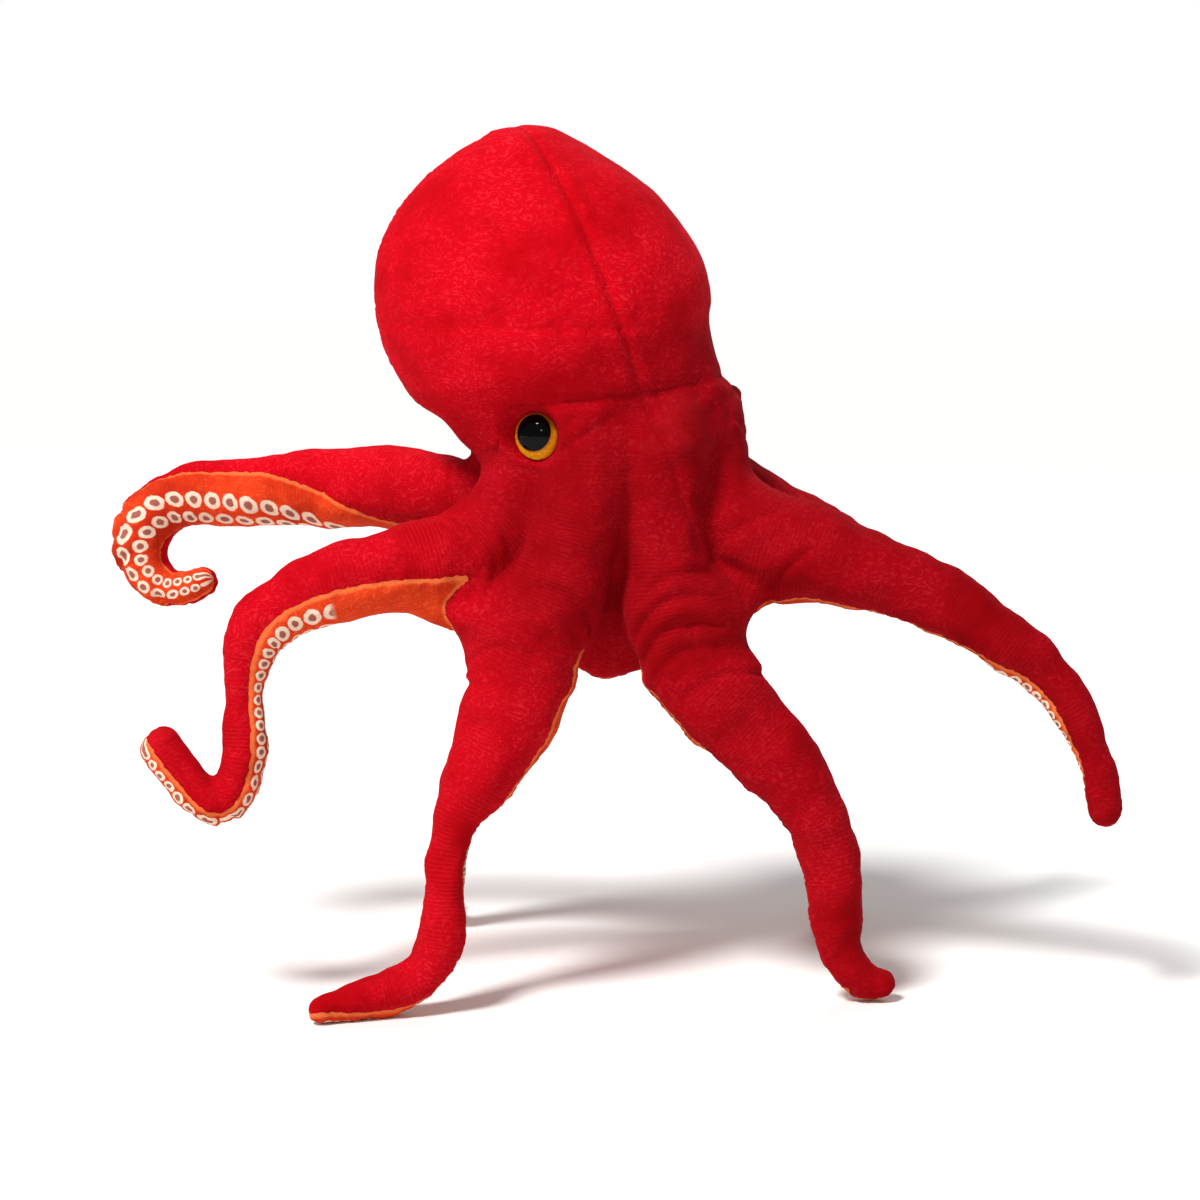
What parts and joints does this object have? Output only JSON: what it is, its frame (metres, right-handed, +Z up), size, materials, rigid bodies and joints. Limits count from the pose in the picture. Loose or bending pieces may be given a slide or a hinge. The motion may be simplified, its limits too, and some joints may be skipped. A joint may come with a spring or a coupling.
{
  "type": "stuffed plush octopus toy",
  "caption": "Stuffed velvet octopus with curling arms, an orange sucker print beneath and domed plastic eyes; it stands on its front and rear arms.",
  "frame": {"origin": "middle of the outline at floor level, under the crown", "axes": "+Z up, -Y out of the front, +X to the right as seen from the front"},
  "size_m": [0.5271, 0.2619, 0.4481],
  "materials": {
    "red_velvet": "short-pile velvet, brushed",
    "sucker_print": "orange velvet with a printed pattern of cream rings",
    "stuffing": "polyester fibre",
    "eye_plastic": "moulded, amber ring and black pupil under a clear dome",
    "washer_plastic": "moulded"
  },
  "bodies": {
    "crown": {"crown_top": "red_velvet", "crown_under": "sucker_print", "crown_fill": "stuffing", "eye_left": "eye_plastic", "eye_right": "eye_plastic", "washer_left": "washer_plastic", "washer_right": "washer_plastic"},
    "mantle": {"mantle_left": "red_velvet", "mantle_right": "red_velvet", "mantle_fill": "stuffing"},
    "arm_1_root": {"arm_1_root_top": "red_velvet", "arm_1_root_under": "sucker_print", "arm_1_root_fill": "stuffing"},
    "arm_1_tip": {"arm_1_tip_top": "red_velvet", "arm_1_tip_under": "sucker_print", "arm_1_tip_fill": "stuffing"},
    "arm_2_root": {"arm_2_root_top": "red_velvet", "arm_2_root_under": "sucker_print", "arm_2_root_fill": "stuffing"},
    "arm_2_tip": {"arm_2_tip_top": "red_velvet", "arm_2_tip_under": "sucker_print", "arm_2_tip_fill": "stuffing"},
    "arm_3_root": {"arm_3_root_top": "red_velvet", "arm_3_root_under": "sucker_print", "arm_3_root_fill": "stuffing"},
    "arm_3_tip": {"arm_3_tip_top": "red_velvet", "arm_3_tip_under": "sucker_print", "arm_3_tip_fill": "stuffing"},
    "arm_4_root": {"arm_4_root_top": "red_velvet", "arm_4_root_under": "sucker_print", "arm_4_root_fill": "stuffing"},
    "arm_4_tip": {"arm_4_tip_top": "red_velvet", "arm_4_tip_under": "sucker_print", "arm_4_tip_fill": "stuffing"},
    "arm_5_root": {"arm_5_root_top": "red_velvet", "arm_5_root_under": "sucker_print", "arm_5_root_fill": "stuffing"},
    "arm_5_tip": {"arm_5_tip_top": "red_velvet", "arm_5_tip_under": "sucker_print", "arm_5_tip_fill": "stuffing"},
    "arm_6_root": {"arm_6_root_top": "red_velvet", "arm_6_root_under": "sucker_print", "arm_6_root_fill": "stuffing"},
    "arm_6_tip": {"arm_6_tip_top": "red_velvet", "arm_6_tip_under": "sucker_print", "arm_6_tip_fill": "stuffing"},
    "arm_7_root": {"arm_7_root_top": "red_velvet", "arm_7_root_under": "sucker_print", "arm_7_root_fill": "stuffing"},
    "arm_7_tip": {"arm_7_tip_top": "red_velvet", "arm_7_tip_under": "sucker_print", "arm_7_tip_fill": "stuffing"},
    "arm_8_root": {"arm_8_root_top": "red_velvet", "arm_8_root_under": "sucker_print", "arm_8_root_fill": "stuffing"},
    "arm_8_tip": {"arm_8_tip_top": "red_velvet", "arm_8_tip_under": "sucker_print", "arm_8_tip_fill": "stuffing"}
  },
  "joints": [
    {"name": "mantle_tilt", "type": "hinge", "parent": "crown", "child": "mantle", "pos_m": [0.0039, -0.028, 0.3111], "axis": [0, 1, 0], "range_deg": [-6, 15]},
    {"name": "arm_1_lift", "type": "hinge", "parent": "crown", "child": "arm_1_root", "pos_m": [-0.0801, -0.005, 0.2501], "axis": [0.368, 0.9298, 0], "range_deg": [-20, 20]},
    {"name": "arm_1_curl", "type": "hinge", "parent": "arm_1_root", "child": "arm_1_tip", "pos_m": [-0.1981, 0.03, 0.2521], "axis": [0.368, 0.9298, 0], "range_deg": [-30, 30]},
    {"name": "arm_2_lift", "type": "hinge", "parent": "crown", "child": "arm_2_root", "pos_m": [-0.0861, -0.066, 0.2271], "axis": [-0.2425, 0.9701, 0], "range_deg": [-20, 20]},
    {"name": "arm_2_curl", "type": "hinge", "parent": "arm_2_root", "child": "arm_2_tip", "pos_m": [-0.1601, -0.082, 0.2071], "axis": [-0.2425, 0.9701, 0], "range_deg": [-30, 30]},
    {"name": "arm_3_lift", "type": "hinge", "parent": "crown", "child": "arm_3_root", "pos_m": [-0.0461, -0.079, 0.1571], "axis": [-0.4472, 0.8944, 0], "range_deg": [-20, 20]},
    {"name": "arm_3_curl", "type": "hinge", "parent": "arm_3_root", "child": "arm_3_tip", "pos_m": [-0.0741, -0.093, 0.0981], "axis": [-0.4472, 0.8944, 0], "range_deg": [-30, 30]},
    {"name": "arm_4_lift", "type": "hinge", "parent": "crown", "child": "arm_4_root", "pos_m": [0.0579, -0.072, 0.1571], "axis": [-0.1215, -0.9926, 0], "range_deg": [-20, 20]},
    {"name": "arm_4_curl", "type": "hinge", "parent": "arm_4_root", "child": "arm_4_tip", "pos_m": [0.1069, -0.078, 0.1001], "axis": [-0.1215, -0.9926, 0], "range_deg": [-30, 30]},
    {"name": "arm_5_lift", "type": "hinge", "parent": "crown", "child": "arm_5_root", "pos_m": [0.0979, -0.06, 0.2321], "axis": [-0.2208, -0.9753, 0], "range_deg": [-20, 20]},
    {"name": "arm_5_curl", "type": "hinge", "parent": "arm_5_root", "child": "arm_5_tip", "pos_m": [0.1819, -0.078, 0.2021], "axis": [-0.2208, -0.9753, 0], "range_deg": [-30, 30]},
    {"name": "arm_6_lift", "type": "hinge", "parent": "crown", "child": "arm_6_root", "pos_m": [0.0959, 0.006, 0.2351], "axis": [0.5222, -0.8529, 0], "range_deg": [-20, 20]},
    {"name": "arm_6_curl", "type": "hinge", "parent": "arm_6_root", "child": "arm_6_tip", "pos_m": [0.1689, 0.056, 0.1971], "axis": [0.5222, -0.8529, 0], "range_deg": [-30, 30]},
    {"name": "arm_7_lift", "type": "hinge", "parent": "crown", "child": "arm_7_root", "pos_m": [-0.0411, 0.036, 0.1571], "axis": [0.6703, 0.7421, 0], "range_deg": [-20, 20]},
    {"name": "arm_7_curl", "type": "hinge", "parent": "arm_7_root", "child": "arm_7_tip", "pos_m": [-0.0721, 0.064, 0.0971], "axis": [0.6703, 0.7421, 0], "range_deg": [-30, 30]},
    {"name": "arm_8_lift", "type": "hinge", "parent": "crown", "child": "arm_8_root", "pos_m": [0.0569, 0.035, 0.1571], "axis": [0.4706, -0.8824, 0], "range_deg": [-20, 20]},
    {"name": "arm_8_curl", "type": "hinge", "parent": "arm_8_root", "child": "arm_8_tip", "pos_m": [0.1019, 0.059, 0.0981], "axis": [0.4706, -0.8824, 0], "range_deg": [-30, 30]}
  ]
}
